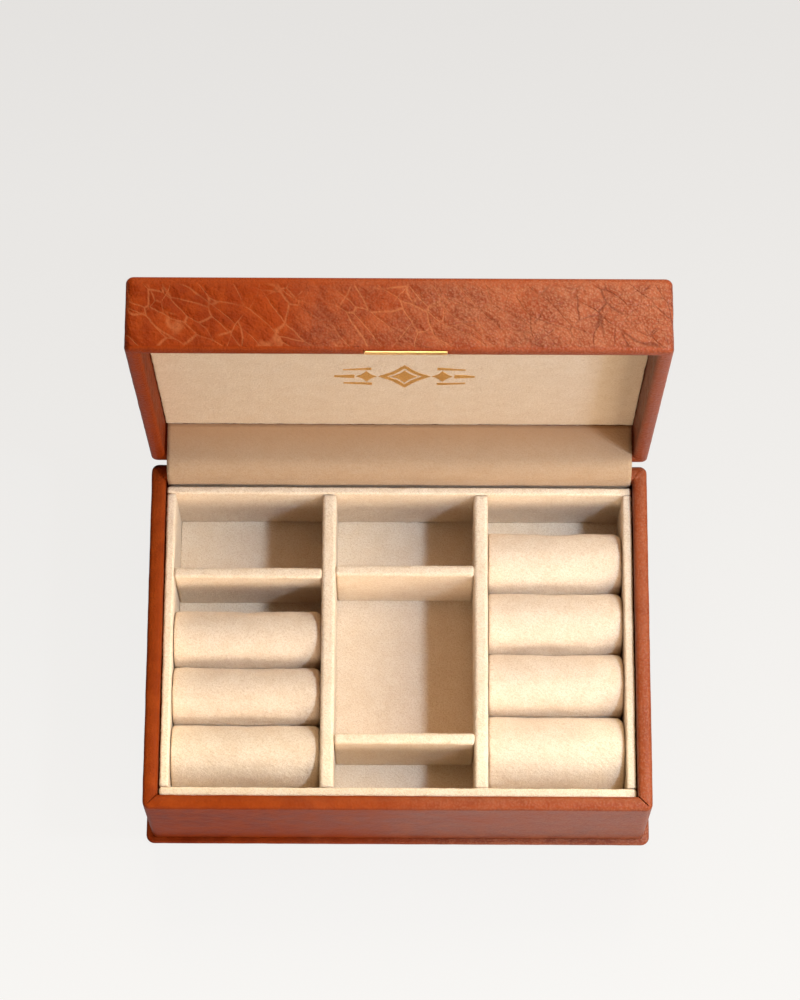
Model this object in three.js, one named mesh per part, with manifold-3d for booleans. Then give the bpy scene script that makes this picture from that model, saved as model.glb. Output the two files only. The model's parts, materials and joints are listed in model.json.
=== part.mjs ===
// Leather jewellery case with a suede-lined, compartmented insert and a hinged lid.
// Millimetres, +Z up, front of the case towards -Y. The lid stands open.
// The origin is the centre of the underside, on the surface that the case rests on.

import * as THREE from 'three';
import { mergeVertices } from 'three/addons/utils/BufferGeometryUtils.js';
import Module from 'manifold-3d';

const wasm = await Module();
wasm.setup();

// ---------------------------------------------------------------- driving dimensions

const CASE = { width: 200, depth: 142, baseTop: 57, lidHeight: 28.6, cornerRadius: 3 };
const LID_OPEN = THREE.MathUtils.degToRad(88);

const GAP = 0.3;                 // clearance between pieces that lie against each other
const LEATHER = 1.1;             // skiver leather of the covers
const CORE = 2.9;                // greyboard and wood walls inside the leather
const WALL = 2 * LEATHER + CORE + 2 * GAP;
const RIM_ROUND = 1.5;           // roll of the leather over the padded rims
const LID_EDGE_ROUND = 2.6;      // softer roll round the top of the lid

const LINING_SHEET = { thickness: 0.6, inset: 4 };
const FOOT = { thickness: 2.2, overhang: 2.2, cornerRadius: 3.4, edgeRound: 0.9 };
const BOTTOM_BOARD = 7;
const BASE_TURN_IN = 14;         // how far the base leather goes down inside the rim
const LID_TURN_IN = 20;

const INSERT = { halfWidth: 93.8, front: -65.0, rear: 62.9, top: 53, wall: 3.6, rearWall: 3.2 };
const FLOOR_TOP = 16;
const COMPARTMENT_HEIGHT = INSERT.top - FLOOR_TOP;
const LONG_DIVIDERS = { left: -28.1, right: 33, thickness: 5.5 };
const CROSS_DIVIDER = 4.4;
const CROSS_DIVIDERS = { left: 26.6, centreRear: 27.8, centreFront: -41.4 };

const ROLL = { height: 34, endRound: 4.5, frontGap: 2.6, sideGap: 0.5 };
const LEFT_ROLLS = { count: 3, rear: 13.9, pitch: 23.5 };
const RIGHT_ROLLS = { count: 4, rear: 47.4, pitch: 25.4 };

const LID_GAP = 0.4;             // daylight between the closed rims
const HINGE = { back: 0.7, above: 0.2, leather: 1, halfWidth: 94, leaf: 21, slack: 1.2 };
const LINING = { thickness: 1, halfWidth: 93.4, lidDepth: 13.3, baseBottom: 30, endGap: 0.045 };

const LID_TOP_BOARD = 3;
const LID_RECESS = 14;           // depth of the lid's inside from its rim to its lining
const LID_PANEL = 1.1;

const PLATE = { x: 2.5, length: 30.4, width: 3.4, thickness: 0.6, proud: 0.15, corner: 0.5 };
const MAGNET = { length: 10, width: 1.8, height: 6, spacing: 16, below: 1.5 };

const halfWidth = CASE.width / 2;
const halfDepth = CASE.depth / 2;
const footBottom = LINING_SHEET.thickness + GAP;
const wallBottom = footBottom + FOOT.thickness + GAP;
const lidRim = CASE.baseTop + LID_GAP;
const lidTop = lidRim + CASE.lidHeight;
const axisY = halfDepth + HINGE.back;
const axisZ = CASE.baseTop + HINGE.above;

// ---------------------------------------------------------------- materials

function material(colour, roughness, metalness) {
  return () => new THREE.MeshStandardMaterial({ color: colour, roughness, metalness });
}

const tanLeather = material(0xa4522d, 0.5, 0);
const creamSuede = material(0xe5cdac, 0.95, 0);
const greyBoard = material(0x9c8b72, 0.85, 0);
const foam = material(0xe9e2d2, 0.9, 0);
const brass = material(0xc79a4b, 0.3, 1);
const magnetSteel = material(0x9b9da1, 0.35, 1);

// ---------------------------------------------------------------- shape helpers

// Points of a rounded rectangle, `inset` inside one of the given half sizes and corner radius.
function rectangleRing(halfX, halfY, radius, inset, steps) {
  const sharpest = 0.3;
  const corner = Math.max(radius - inset, sharpest);
  const centreX = halfX - inset - corner;
  const centreY = halfY - inset - corner;
  const ring = [];
  for (let quarter = 0; quarter < 4; quarter += 1) {
    const signX = quarter === 0 || quarter === 3 ? 1 : -1;
    const signY = quarter < 2 ? 1 : -1;
    for (let step = 0; step <= steps; step += 1) {
      const angle = (quarter + step / steps) * (Math.PI / 2);
      ring.push([signX * centreX + corner * Math.cos(angle), signY * centreY + corner * Math.sin(angle)]);
    }
  }
  return ring;
}

// A closed body from rings of equal length. An end is capped, or the last ring joins the first.
function bodyFromRings(rings, joined) {
  const size = rings[0].length;
  const positions = rings.flat(2);
  const triangles = [];
  const spans = joined ? rings.length : rings.length - 1;
  for (let ring = 0; ring < spans; ring += 1) {
    const here = ring * size;
    const next = ((ring + 1) % rings.length) * size;
    for (let point = 0; point < size; point += 1) {
      const after = (point + 1) % size;
      triangles.push(here + point, here + after, next + after);
      triangles.push(here + point, next + after, next + point);
    }
  }
  if (!joined) {
    const last = (rings.length - 1) * size;
    for (let point = 1; point < size - 1; point += 1) {
      triangles.push(0, point + 1, point);
      triangles.push(last, last + point, last + point + 1);
    }
  }
  return outwardGeometry(positions, triangles);
}

function outwardGeometry(positions, triangles) {
  const corner = [new THREE.Vector3(), new THREE.Vector3(), new THREE.Vector3()];
  let volume = 0;
  for (let first = 0; first < triangles.length; first += 3) {
    corner.forEach((point, index) => point.fromArray(positions, 3 * triangles[first + index]));
    volume += corner[0].dot(corner[1].cross(corner[2]));
  }
  if (volume < 0) triangles.reverse();
  const geometry = new THREE.BufferGeometry();
  geometry.setAttribute('position', new THREE.Float32BufferAttribute(positions, 3));
  geometry.setIndex(triangles);
  geometry.computeVertexNormals();
  return geometry;
}

// Carries a profile of [inset, height] points round a rounded rectangle.
function rectangleSweep(halfX, halfY, radius, profile, joined, steps = 4) {
  const rings = profile.map(([inset, height]) => (
    rectangleRing(halfX, halfY, radius, inset, steps).map(([x, y]) => [x, y, height])
  ));
  return bodyFromRings(rings, joined);
}

function arc(centreInset, centreHeight, radius, fromDegrees, toDegrees, steps) {
  const points = [];
  for (let step = 0; step <= steps; step += 1) {
    const angle = THREE.MathUtils.degToRad(fromDegrees + (toDegrees - fromDegrees) * (step / steps));
    points.push([centreInset + radius * Math.cos(angle), centreHeight + radius * Math.sin(angle)]);
  }
  return points;
}

// A block standing on height 0, with rounded upright corners and rounded upper and lower edges.
function roundedBlock(sizeX, sizeY, height, { corner = 0.6, upper = 0.4, lower = 0.3 } = {}) {
  const profile = [
    ...arc(upper, height - upper, upper, 90, 180, upper > 1 ? 4 : 2),
    ...arc(lower, lower, lower, 180, 270, 1),
  ];
  return rectangleSweep(sizeX / 2, sizeY / 2, corner, profile, false, corner > 1 ? 4 : 2);
}

function solidFrom(geometry) {
  const bare = geometry.clone();
  bare.deleteAttribute('normal');
  if (bare.getAttribute('uv')) bare.deleteAttribute('uv');
  const merged = mergeVertices(bare, 1e-5);
  return new wasm.Manifold(new wasm.Mesh({
    numProp: 3,
    vertProperties: new Float32Array(merged.attributes.position.array),
    triVerts: new Uint32Array(merged.index.array),
  }));
}

function geometryFrom(solid) {
  const mesh = solid.getMesh();
  return outwardGeometry(Array.from(mesh.vertProperties), Array.from(mesh.triVerts));
}

// `body` without the blocks, each given as [geometry, x, y, z].
function carved(body, blocks) {
  const solid = blocks.reduce((rest, [block, x, y, z]) => (
    rest.subtract(solidFrom(block.clone().translate(x, y, z)))
  ), solidFrom(body));
  return geometryFrom(solid);
}

function addPiece(group, name, geometry, makeMaterial, x = 0, y = 0, z = 0) {
  const mesh = new THREE.Mesh(geometry, makeMaterial());
  mesh.name = name;
  mesh.position.set(x, y, z);
  group.add(mesh);
}

// ---------------------------------------------------------------- walls shared by base and lid

// Four wall cores with their outer faces just inside the leather, from `bottom` to `top`.
function addWallCores(group, prefix, bottom, top, frontCore) {
  const outer = LEATHER + GAP;
  const length = CASE.width - 2 * outer;
  const sideLength = CASE.depth - 2 * (outer + CORE + GAP);
  const endX = halfWidth - outer - CORE / 2;
  const endY = halfDepth - outer - CORE / 2;
  const longCore = () => roundedBlock(length, CORE, top - bottom, { corner: 1.3 });
  const sideCore = () => roundedBlock(CORE, sideLength, top - bottom);
  addPiece(group, `${prefix}_core_front`, frontCore(longCore()), greyBoard, 0, -endY, bottom);
  addPiece(group, `${prefix}_core_rear`, longCore(), greyBoard, 0, endY, bottom);
  addPiece(group, `${prefix}_core_left`, sideCore(), greyBoard, -endX, 0, bottom);
  addPiece(group, `${prefix}_core_right`, sideCore(), greyBoard, endX, 0, bottom);
}

// The roll of the leather over a rim at height `rim`, from outside to inside.
// `up` is +1 where the rim looks up and -1 where it looks down.
function rimRoll(rim, up) {
  const quarter = (inset, from, to) => arc(inset, 0, RIM_ROUND, from, to, 4)
    .map(([across, along]) => [across, rim + up * (along - RIM_ROUND)]);
  return [...quarter(RIM_ROUND, 180, 90), ...quarter(WALL - RIM_ROUND, 90, 0)];
}

// ---------------------------------------------------------------- base

function addFoot(base) {
  const liningWidth = CASE.width - 2 * LINING_SHEET.inset;
  const liningDepth = CASE.depth - 2 * LINING_SHEET.inset;
  const sheet = roundedBlock(liningWidth, liningDepth, LINING_SHEET.thickness,
    { corner: 2, upper: 0.1, lower: 0.1 });
  addPiece(base, 'underside_lining', sheet, creamSuede);

  const footWidth = CASE.width + 2 * FOOT.overhang;
  const footDepth = CASE.depth + 2 * FOOT.overhang;
  const board = roundedBlock(footWidth, footDepth, FOOT.thickness,
    { corner: FOOT.cornerRadius, upper: FOOT.edgeRound, lower: FOOT.edgeRound });
  addPiece(base, 'foot_board', board, tanLeather, 0, 0, footBottom);
}

function baseCoverGeometry() {
  const innerTop = CASE.baseTop - LEATHER;
  const turnInEnd = CASE.baseTop - BASE_TURN_IN;
  const profile = [
    [0, wallBottom],
    ...rimRoll(CASE.baseTop, 1),
    [WALL, turnInEnd],
    [WALL - LEATHER, turnInEnd],
    [WALL - LEATHER, innerTop],
    [LEATHER, innerTop],
    [LEATHER, wallBottom],
  ];
  return rectangleSweep(halfWidth, halfDepth, CASE.cornerRadius, profile, true);
}

function magnetPlaces() {
  return [-1, 1].map((side) => PLATE.x + side * MAGNET.spacing / 2);
}

function addCarcass(base) {
  const coreTop = CASE.baseTop - LEATHER - GAP;
  const coreHeight = coreTop - wallBottom;
  const pocketBottom = coreHeight - MAGNET.below - MAGNET.height;
  const pocketed = (core) => {
    const pocket = roundedBlock(MAGNET.length + GAP, MAGNET.width + GAP, coreHeight,
      { corner: 0.3, upper: 0.1, lower: 0.1 });
    return carved(core, magnetPlaces().map((x) => [pocket, x, 0, pocketBottom - GAP / 2]));
  };
  addWallCores(base, 'base', wallBottom, coreTop, pocketed);

  const coreY = halfDepth - LEATHER - GAP - CORE / 2;
  magnetPlaces().forEach((x, index) => {
    const magnet = roundedBlock(MAGNET.length, MAGNET.width, MAGNET.height,
      { corner: 0.2, upper: 0.2, lower: 0.2 });
    addPiece(base, `closure_magnet_${index + 1}`, magnet, magnetSteel, x, -coreY, wallBottom + pocketBottom);
  });

  const boardInset = 2 * (LEATHER + GAP + CORE + GAP);
  const board = roundedBlock(CASE.width - boardInset, CASE.depth - boardInset, BOTTOM_BOARD);
  addPiece(base, 'base_bottom_board', board, greyBoard, 0, 0, wallBottom);
  addPiece(base, 'base_leather_cover', baseCoverGeometry(), tanLeather);
}

// ---------------------------------------------------------------- insert

const insertBottom = wallBottom + BOTTOM_BOARD + GAP;
const insertInner = {
  left: -INSERT.halfWidth + INSERT.wall,
  right: INSERT.halfWidth - INSERT.wall,
  front: INSERT.front + INSERT.wall,
  rear: INSERT.rear - INSERT.rearWall,
};

function addInsertTray(base) {
  const wallHeight = INSERT.top - insertBottom;
  const softWall = { corner: 1, upper: 1.5 };
  const sideLength = INSERT.rear - INSERT.front - INSERT.wall - INSERT.rearWall - 2 * GAP;
  const middleY = (insertInner.front + insertInner.rear) / 2;
  const frontWall = roundedBlock(2 * INSERT.halfWidth, INSERT.wall, wallHeight, softWall);
  const rearWall = roundedBlock(2 * INSERT.halfWidth, INSERT.rearWall, wallHeight, softWall);
  const sideWall = () => roundedBlock(INSERT.wall, sideLength, wallHeight, softWall);
  const sideX = INSERT.halfWidth - INSERT.wall / 2;
  addPiece(base, 'insert_wall_front', frontWall, creamSuede, 0, INSERT.front + INSERT.wall / 2, insertBottom);
  addPiece(base, 'insert_wall_rear', rearWall, creamSuede, 0, INSERT.rear - INSERT.rearWall / 2, insertBottom);
  addPiece(base, 'insert_wall_left', sideWall(), creamSuede, -sideX, middleY, insertBottom);
  addPiece(base, 'insert_wall_right', sideWall(), creamSuede, sideX, middleY, insertBottom);

  const floorWidth = insertInner.right - insertInner.left - 2 * GAP;
  const floor = roundedBlock(floorWidth, sideLength, FLOOR_TOP - insertBottom);
  addPiece(base, 'insert_floor', floor, creamSuede, 0, middleY, insertBottom);
}

function addDividers(base) {
  const soft = { corner: 0.6, upper: 1.9 };
  const height = COMPARTMENT_HEIGHT - GAP;
  const standing = FLOOR_TOP + GAP;
  const half = LONG_DIVIDERS.thickness / 2;
  const length = insertInner.rear - insertInner.front - 2 * GAP;
  const middleY = (insertInner.front + insertInner.rear) / 2;
  ['left', 'right'].forEach((side) => {
    const divider = roundedBlock(LONG_DIVIDERS.thickness, length, height, soft);
    addPiece(base, `long_divider_${side}`, divider, creamSuede, LONG_DIVIDERS[side], middleY, standing);
  });

  const leftColumn = [insertInner.left, LONG_DIVIDERS.left - half];
  const centreColumn = [LONG_DIVIDERS.left + half, LONG_DIVIDERS.right - half];
  const crossings = [
    ['cross_divider_left', leftColumn, CROSS_DIVIDERS.left],
    ['cross_divider_centre_rear', centreColumn, CROSS_DIVIDERS.centreRear],
    ['cross_divider_centre_front', centreColumn, CROSS_DIVIDERS.centreFront],
  ];
  crossings.forEach(([name, [from, to], y]) => {
    const divider = roundedBlock(to - from - 2 * GAP, CROSS_DIVIDER, height, { corner: 0.6, upper: 1.6 });
    addPiece(base, name, divider, creamSuede, (from + to) / 2, y, standing);
  });
}

// A padded roll along X with an arched top, its ends drawn in all round.
function ringRollGeometry(length, width) {
  const archSteps = 10;
  const endSteps = 3;
  const section = (x, drawnIn) => {
    const halfY = width / 2 - drawnIn;
    const spring = ROLL.height - width / 2;
    const points = [[x, -halfY, 0], [x, halfY, 0]];
    for (let step = 0; step <= archSteps; step += 1) {
      const angle = Math.PI * (step / archSteps);
      const rise = (ROLL.height - drawnIn - spring) * Math.sin(angle);
      points.push([x, halfY * Math.cos(angle), spring + rise]);
    }
    return points;
  };
  const leftEnd = [];
  const rightEnd = [];
  for (let step = 0; step <= endSteps; step += 1) {
    const angle = (Math.PI / 2) * (step / endSteps);
    const drawnIn = ROLL.endRound * (1 - Math.sin(angle));
    const along = length / 2 - ROLL.endRound * (1 - Math.cos(angle));
    rightEnd.push(section(along, drawnIn));
    leftEnd.push(section(-along, drawnIn));
  }
  return bodyFromRings([...leftEnd, ...rightEnd.reverse()], false);
}

function addRingRolls(base) {
  const half = LONG_DIVIDERS.thickness / 2;
  const columns = [
    ['left', LEFT_ROLLS, insertInner.left, LONG_DIVIDERS.left - half],
    ['right', RIGHT_ROLLS, LONG_DIVIDERS.right + half, insertInner.right],
  ];
  columns.forEach(([side, rolls, from, to]) => {
    const length = to - from - 2 * ROLL.sideGap;
    for (let index = 0; index < rolls.count; index += 1) {
      const rear = rolls.rear - index * rolls.pitch;
      const isFrontRoll = index === rolls.count - 1;
      const front = isFrontRoll ? insertInner.front + ROLL.frontGap : rear - rolls.pitch + GAP;
      const roll = ringRollGeometry(length, rear - front);
      const name = `ring_roll_${side}_${index + 1}`;
      addPiece(base, name, roll, creamSuede, (from + to) / 2, (rear + front) / 2, FLOOR_TOP + GAP);
    }
  });
}

// ---------------------------------------------------------------- lid, built closed

function lidCoverGeometry() {
  const innerRim = lidRim + LEATHER;
  const turnInEnd = lidRim + LID_TURN_IN;
  const profile = [
    ...arc(LID_EDGE_ROUND, lidTop - LID_EDGE_ROUND, LID_EDGE_ROUND, 90, 180, 5),
    ...rimRoll(lidRim, -1),
    [WALL, turnInEnd],
    [WALL - LEATHER, turnInEnd],
    [WALL - LEATHER, innerRim],
    [LEATHER, innerRim],
    [LEATHER, lidTop - LEATHER],
  ];
  const cover = rectangleSweep(halfWidth, halfDepth, CASE.cornerRadius, profile, false);
  const seat = roundedBlock(PLATE.length + GAP, PLATE.width + GAP, PLATE.thickness + GAP,
    { corner: PLATE.corner, upper: 0.1, lower: 0.1 });
  return carved(cover, [[seat, PLATE.x, plateY(), lidRim - PLATE.proud - GAP / 2]]);
}

function plateY() {
  return -halfDepth + WALL / 2;
}

function addLid(lid) {
  const boardInset = 2 * (LEATHER + GAP);
  const boardBottom = lidTop - LEATHER - GAP - LID_TOP_BOARD;
  const topBoard = roundedBlock(CASE.width - boardInset, CASE.depth - boardInset, LID_TOP_BOARD, { corner: 1.6 });
  addPiece(lid, 'lid_leather_cover', lidCoverGeometry(), tanLeather);
  addPiece(lid, 'lid_top_board', topBoard, greyBoard, 0, 0, boardBottom);
  addWallCores(lid, 'lid', lidRim + LEATHER + GAP, boardBottom - GAP, (core) => core);

  const panelWidth = CASE.width - 2 * (WALL + GAP);
  const panelDepth = CASE.depth - 2 * (WALL + GAP);
  const panelBottom = lidRim + LID_RECESS;
  const panel = roundedBlock(panelWidth, panelDepth, LID_PANEL, { corner: 1, upper: 0.2, lower: 0.5 });
  addPiece(lid, 'lid_suede_panel', panel, creamSuede, 0, 0, panelBottom);
  const padBottom = panelBottom + LID_PANEL + GAP;
  const pad = roundedBlock(panelWidth, panelDepth, boardBottom - GAP - padBottom, { corner: 1 });
  addPiece(lid, 'lid_foam_pad', pad, foam, 0, 0, padBottom);

  const plate = roundedBlock(PLATE.length, PLATE.width, PLATE.thickness,
    { corner: PLATE.corner, upper: 0.15, lower: 0.15 });
  addPiece(lid, 'strike_plate', plate, brass, PLATE.x, plateY(), lidRim - PLATE.proud);
}

// ---------------------------------------------------------------- hinge leather and hinge lining

function leafGeometry(halfLength, thickness, height) {
  return roundedBlock(2 * halfLength, thickness, height, { corner: 0.3, upper: 0.2, lower: 0.2 });
}

function addHingeOnBase(base) {
  const leafTop = axisZ - HINGE.slack;
  const leather = leafGeometry(HINGE.halfWidth, HINGE.leather, HINGE.leaf);
  addPiece(base, 'hinge_leather_base', leather, tanLeather, 0, axisY, leafTop - HINGE.leaf);

  const liningY = halfDepth - WALL - GAP - LINING.thickness / 2;
  const liningTop = axisZ - GAP;
  const lining = leafGeometry(LINING.halfWidth, LINING.thickness, liningTop - LINING.baseBottom);
  addPiece(base, 'hinge_lining_base', lining, creamSuede, 0, liningY, LINING.baseBottom);
  addPiece(base, 'hinge_lining_span', liningSpanGeometry(), creamSuede, -LINING.halfWidth, axisY, axisZ);
}

// The free stretch of suede between the two leaves, arched round the hinge line.
function liningSpanGeometry() {
  const inner = axisY - (halfDepth - WALL - GAP);
  const outer = inner + LINING.thickness;
  const lidEnd = Math.PI / 2 + (Math.PI / 2 - LID_OPEN) + LINING.endGap;
  const baseEnd = Math.PI - LINING.endGap;
  const section = new THREE.Shape();
  section.absarc(0, 0, outer, lidEnd, baseEnd, false);
  section.absarc(0, 0, inner, baseEnd, lidEnd, true);
  section.closePath();
  const geometry = new THREE.ExtrudeGeometry(section, {
    depth: 2 * LINING.halfWidth, bevelEnabled: false, curveSegments: 10,
  });
  const alongX = new THREE.Matrix4().makeBasis(
    new THREE.Vector3(0, 1, 0), new THREE.Vector3(0, 0, 1), new THREE.Vector3(1, 0, 0),
  );
  return geometry.applyMatrix4(alongX);
}

function addHingeOnLid(lid) {
  const leather = leafGeometry(HINGE.halfWidth, HINGE.leather, HINGE.leaf);
  addPiece(lid, 'hinge_leather_lid', leather, tanLeather, 0, axisY, axisZ + HINGE.slack);
  const liningY = halfDepth - WALL - GAP - LINING.thickness / 2;
  const lining = leafGeometry(LINING.halfWidth, LINING.thickness, LINING.lidDepth);
  addPiece(lid, 'hinge_lining_lid', lining, creamSuede, 0, liningY, axisZ + GAP);
}

// ---------------------------------------------------------------- assembly

function buildBase() {
  const base = new THREE.Group();
  addFoot(base);
  addCarcass(base);
  addInsertTray(base);
  addDividers(base);
  addRingRolls(base);
  addHingeOnBase(base);
  return base;
}

function buildLid() {
  const closedLid = new THREE.Group();
  addLid(closedLid);
  addHingeOnLid(closedLid);
  closedLid.position.set(0, -axisY, -axisZ);
  const openLid = new THREE.Group();
  openLid.add(closedLid);
  openLid.position.set(0, axisY, axisZ);
  openLid.rotation.x = -LID_OPEN;
  return openLid;
}

const jewelleryCase = new THREE.Group();
jewelleryCase.add(buildBase(), buildLid());

export default jewelleryCase;
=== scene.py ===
"""Leather jewellery case: the visible pieces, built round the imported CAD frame.

Lengths are millimetres in the frame's axes (X to the right, -Y to the front, Z up) and become
metres when a mesh is made. Pieces of the lid are shaped with the lid shut and then swung open.
"""

import json
import math

import bmesh
import bpy
import numpy as np
from mathutils import Matrix, Vector, noise


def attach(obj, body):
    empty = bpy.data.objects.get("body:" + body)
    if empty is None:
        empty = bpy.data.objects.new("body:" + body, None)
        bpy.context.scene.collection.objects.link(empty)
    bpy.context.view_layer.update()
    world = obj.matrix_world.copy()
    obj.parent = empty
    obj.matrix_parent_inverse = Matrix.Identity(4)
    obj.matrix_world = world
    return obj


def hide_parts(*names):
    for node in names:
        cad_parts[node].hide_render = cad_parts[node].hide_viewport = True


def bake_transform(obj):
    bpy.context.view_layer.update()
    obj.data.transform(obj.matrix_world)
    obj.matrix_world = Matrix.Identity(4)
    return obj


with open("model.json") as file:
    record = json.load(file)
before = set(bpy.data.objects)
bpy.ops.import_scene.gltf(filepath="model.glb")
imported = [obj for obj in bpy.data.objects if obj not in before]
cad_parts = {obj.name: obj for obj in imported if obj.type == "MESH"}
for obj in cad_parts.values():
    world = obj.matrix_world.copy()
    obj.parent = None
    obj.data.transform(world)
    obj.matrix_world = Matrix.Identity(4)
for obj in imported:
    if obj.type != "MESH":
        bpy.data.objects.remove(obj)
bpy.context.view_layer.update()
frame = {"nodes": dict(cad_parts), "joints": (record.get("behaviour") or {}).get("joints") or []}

# ---- driving dimensions

MM = 0.001

LEATHER = 1.1  # thickness of the covers
CORNER_RADIUS = 3.0  # upright corners of the covers
RIM_ROUND = 1.7  # roll of the leather over the padded rims
RIM_CROWN = 0.12  # swell of the rim between its two rolls
RIM_REACH = 0.2  # lips and folds of the base's rim stop here, so the lid still shuts
LID_EDGE_ROUND = 2.6  # soft upper edges of the lid
TURN_IN = {"base": 14, "lid": 20}  # how far the leather is turned in
WALL = 5.7  # a whole side wall, leather and core
PLATE_SEAT = 0.62  # depth of the strike plate's seat in the lid's rim
PLATE_ROOM = (0.2, 0.15)  # room round the plate in its seat, along X and Y
SEAT_STOPS = (0.3, 0.15)  # stops of the rim beside the plate, so that the seat has clean ends
SLIT = {"depth": 1.0, "width": 0.17, "lip": 0.2, "lip_at": 0.55, "lip_width": 0.28}

FOOT_CORNER = 3.4
FOOT_EDGE = 0.9
MIDDLE_RING = 0.4  # half depth of the ring that a cover's closing face fills
PANEL_CROWN = 0.7  # swell of the padded lid panel
WALL_TOP_ROUND = 1.1  # soft upper edges of the suede walls and dividers
JOINT_OVERLAP = 0.28  # suede pieces meet instead of keeping the CAD's clearance

HINGE_SLACK = 1.2  # free leather on each side of the hinge line
HINGE_SKIVE = 3.0  # pared edge of the hinge leather
HINGE_EDGE = 0.35  # share of its thickness that the leather has at its pared edge
LINING_END_DEPTH = 13.9  # how far the lining reaches into the lid
SHADOW_OVER_FOLD = 0.38  # strength of the painted shadow on the lining, over the fold
SHADOW_DEEP_IN_LID = 0.85  # and deep inside the lid

ROLL_ENDS = (1.0, 3.0)  # how far the left and right ends of a ring roll are drawn in
ROLL_SNUG = {"end": 1.0, "side": 0.8}  # how far a roll would swell past its place if it could
ROLL_REACH = (0.16, 0.10, 0.5)  # where it is stopped, past its CAD solid, per axis
ROLL_GRID = {"side": 8, "end": 8, "length": 26, "arch": 26}
ROLL_PUFF = {"voxel": 1.3, "pressure": 4.0, "frames": 20, "cap": 1.0, "start_smaller": 0.5}

# Waves of a surface: (height, size, seed) of each layer.
BASE_WAVES = ((0.10, 9, 1), (0.05, 2.6, 2))
FOOT_WAVES = ((0.06, 7, 5), (0.03, 1.8, 6))
HINGE_WAVES = ((0.05, 4, 60),)
LINING_WAVES = ((0.18, 14, 70), (0.05, 1.7, 71))
SUEDE_WAVES = ((0.12, 11, 0), (0.17, 1.25, 0.5))
ROLL_WAVES = ((0.30, 9, 30), (0.14, 1.5, 40))
WRINKLES = {"slant": 38, "longer": 2.6, "height": 0.16, "size": 3.2, "swell": 0.10, "swell_size": 8}

# ---- places taken from the frame

hinge = frame["joints"][0]
hinge_point = np.array(hinge["pos_m"]) / MM
lid_swing = math.radians(hinge["range_deg"][1])


def turned(points, angle):
    """Points turned about the hinge line."""
    rel = np.asarray(points, float) - hinge_point
    cos, sin = math.cos(angle), math.sin(angle)
    y = rel[:, 1] * cos - rel[:, 2] * sin
    z = rel[:, 1] * sin + rel[:, 2] * cos
    return np.column_stack([rel[:, 0], y, z]) + hinge_point


def opened(points):
    return turned(points, -lid_swing)


def node_points(node):
    return np.array([v.co for v in frame["nodes"][node].data.vertices], float) / MM


def box_of(node):
    points = node_points(node)
    return points.min(0), points.max(0)


def shut_box_of(node):
    """Box of a lid node with the lid shut."""
    points = turned(node_points(node), lid_swing)
    return points.min(0), points.max(0)


# ---- meshes

def shade_faces(mesh, smooth):
    mesh.polygons.foreach_set("use_smooth", [smooth] * len(mesh.polygons))


def new_piece(name, points, faces, material, body=None):
    """A smooth-shaded mesh piece in the frame."""
    mesh = bpy.data.meshes.new(name)
    mesh.from_pydata((np.asarray(points) * MM).tolist(), [], faces)
    work = bmesh.new()
    work.from_mesh(mesh)
    bmesh.ops.recalc_face_normals(work, faces=work.faces)
    work.to_mesh(mesh)
    work.free()
    shade_faces(mesh, True)
    mesh.materials.append(material)
    piece = bpy.data.objects.new(name, mesh)
    bpy.context.scene.collection.objects.link(piece)
    if body:
        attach(piece, body)
    return piece


def vertex_values(piece, name):
    values = np.zeros(len(piece.data.vertices) * 3)
    piece.data.vertices.foreach_get(name, values)
    return values.reshape(-1, 3)


def mesh_points(piece):
    return vertex_values(piece, "co") / MM


def mesh_normals(piece):
    return vertex_values(piece, "normal")


def set_points(piece, points):
    piece.data.vertices.foreach_set("co", (points * MM).ravel())
    piece.data.update()


def store(piece, name, values):
    """Keeps one number per vertex for the materials."""
    attribute = piece.data.attributes.new(name, "FLOAT", "POINT")
    attribute.data.foreach_set("value", np.asarray(values, np.float32))


def store_rest(piece):
    """Keeps each vertex's rest place in millimetres, so that a pattern stays on the cloth."""
    attribute = piece.data.attributes.new("rest_mm", "FLOAT_VECTOR", "POINT")
    attribute.data.foreach_set("vector", mesh_points(piece).astype(np.float32).ravel())


def noise_field(points, size, seed):
    """Smooth noise from about -1 to 1 whose lumps are `size` across."""
    shift = Vector((seed * 17.3, seed * 5.1, seed * 11.7))
    return np.array([noise.noise(Vector(p) / size + shift) for p in points])


def undulate(piece, height, size, seed):
    """Moves the surface in and out by smooth noise."""
    points = mesh_points(piece)
    lift = noise_field(points, size, seed) * height
    set_points(piece, points + mesh_normals(piece) * lift[:, None])


def ripple(piece, waves, seed=0):
    """Undulates the piece by each layer in turn, `seed` added to the layer's own."""
    for height, size, layer_seed in waves:
        undulate(piece, height, size, layer_seed + seed)


def smooth_ramp(value, low, high):
    t = np.clip((value - low) / (high - low), 0, 1)
    return t * t * (3 - 2 * t)


def bell(value, centre, width):
    return np.exp(-(((value - centre) / width) ** 2))


# ---- soft-edged boxes

def axis_stops(half, low_edge, high_edge, spacing, steps):
    """Grid stops from -half to half, finer over the rounded edges."""
    angles = math.radians(45) * np.arange(1, steps + 1) / steps
    first, last = low_edge - half, half - high_edge
    count = max(1, round((last - first) / spacing))
    even = np.linspace(first, last, count + 1)
    return np.concatenate([
        (first - low_edge * np.tan(angles))[::-1], even, last + high_edge * np.tan(angles),
    ])


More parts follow.
